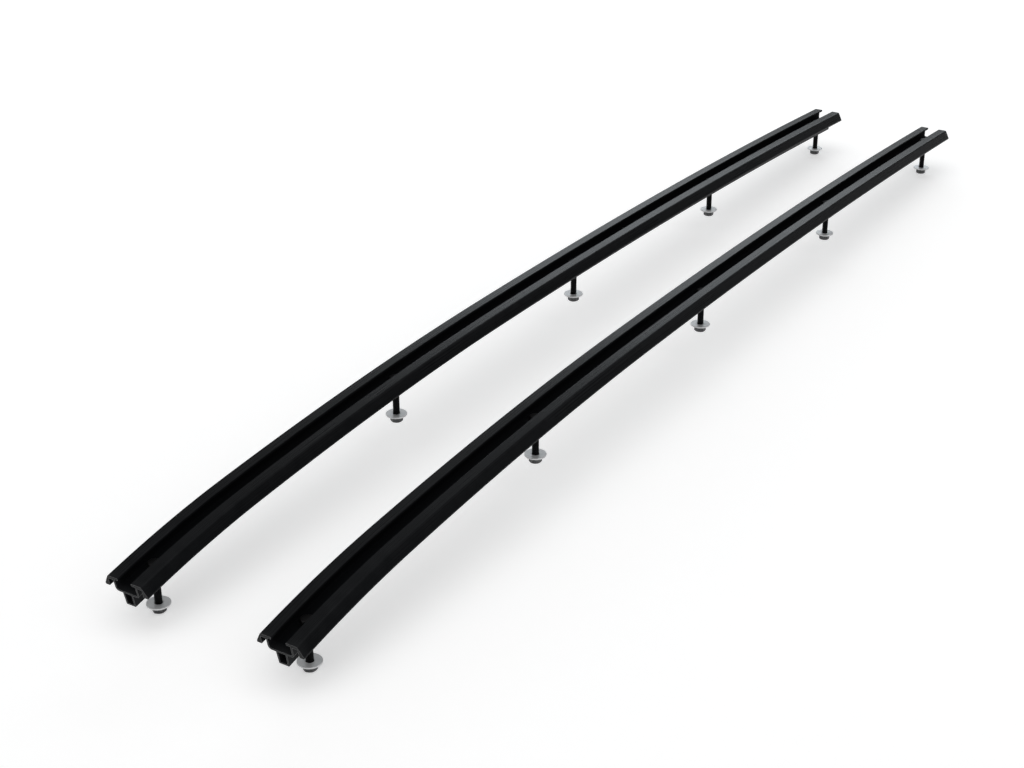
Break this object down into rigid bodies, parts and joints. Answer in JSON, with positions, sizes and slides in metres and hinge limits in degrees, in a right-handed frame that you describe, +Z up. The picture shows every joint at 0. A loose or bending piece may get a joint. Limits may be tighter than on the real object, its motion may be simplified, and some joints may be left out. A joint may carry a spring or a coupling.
{
  "type": "pair of roof rack tracks",
  "caption": "Matched pair of black curved T-slot tracks for a vehicle roof, with hanging roof bolts, wide washers and nuts.",
  "frame": {"origin": "midway along and between the two tracks, level with the lowest nuts", "axes": "+X along the tracks from the tightly bent front end to the rear end, +Y across to the left track, +Z up along the bolts"},
  "size_m": [1.732, 0.244, 0.1012],
  "materials": {
    "track": "satin black anodised extrusion",
    "bolt": "black oxide",
    "washer": "plain stainless, fine brushed",
    "nut": "plain stainless"
  },
  "bodies": {
    "root": {"track_left": "track", "bolt_left_1": "bolt", "washer_left_1": "washer", "nut_left_1": "nut", "bolt_left_2": "bolt", "washer_left_2": "washer", "nut_left_2": "nut", "bolt_left_3": "bolt", "washer_left_3": "washer", "nut_left_3": "nut", "bolt_left_4": "bolt", "washer_left_4": "washer", "nut_left_4": "nut", "bolt_left_5": "bolt", "washer_left_5": "washer", "nut_left_5": "nut", "track_right": "track", "bolt_right_1": "bolt", "washer_right_1": "washer", "nut_right_1": "nut", "bolt_right_2": "bolt", "washer_right_2": "washer", "nut_right_2": "nut", "bolt_right_3": "bolt", "washer_right_3": "washer", "nut_right_3": "nut", "bolt_right_4": "bolt", "washer_right_4": "washer", "nut_right_4": "nut", "bolt_right_5": "bolt", "washer_right_5": "washer", "nut_right_5": "nut"}
  },
  "joints": []
}
